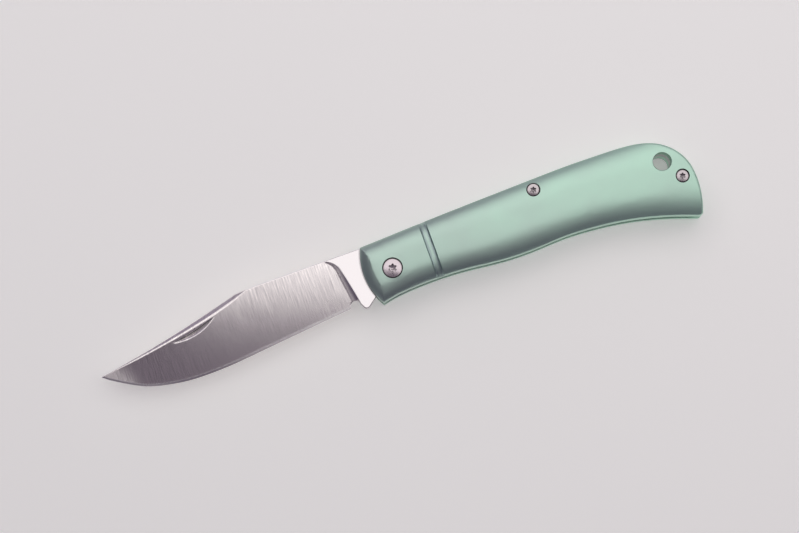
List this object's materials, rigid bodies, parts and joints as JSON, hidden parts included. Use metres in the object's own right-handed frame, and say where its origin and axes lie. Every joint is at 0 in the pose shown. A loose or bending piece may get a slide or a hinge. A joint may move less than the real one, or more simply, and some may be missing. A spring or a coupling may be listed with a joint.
{
  "type": "folding pocket knife",
  "caption": "Slip-joint folding knife with a clip-point blade, contoured metal handle scales, fluted bolster, recessed button-head screws and a lanyard hole.",
  "frame": {"origin": "bottom centre of the bounding box with the knife lying open on its rear scale", "axes": "+X along the handle toward the butt, +Y toward the spine, +Z out of the face with the nail nick"},
  "size_m": [0.1694, 0.0248, 0.012],
  "materials": {
    "scale": "satin anodised, sage green",
    "blade": "satin brushed across",
    "spring": "satin",
    "screw": "polished stainless",
    "barrel": "turned stainless",
    "washer": "phosphor bronze"
  },
  "bodies": {
    "handle": {"front_scale": "scale", "rear_scale": "scale", "backspring": "spring", "front_pivot_screw": "screw", "rear_pivot_screw": "screw", "front_centre_screw": "screw", "rear_centre_screw": "screw", "front_end_screw": "screw", "rear_end_screw": "screw", "pivot_barrel": "barrel", "centre_barrel": "barrel", "end_barrel": "barrel", "front_pivot_washer": "washer", "rear_pivot_washer": "washer"},
    "blade": {"blade": "blade"}
  },
  "joints": [
    {"name": "blade_fold", "type": "hinge", "parent": "handle", "child": "blade", "pos_m": [-0.00104, 0.00188, 0.006], "axis": [0, 0, 1], "range_deg": [0, 172], "deforming": ["backspring"]}
  ]
}
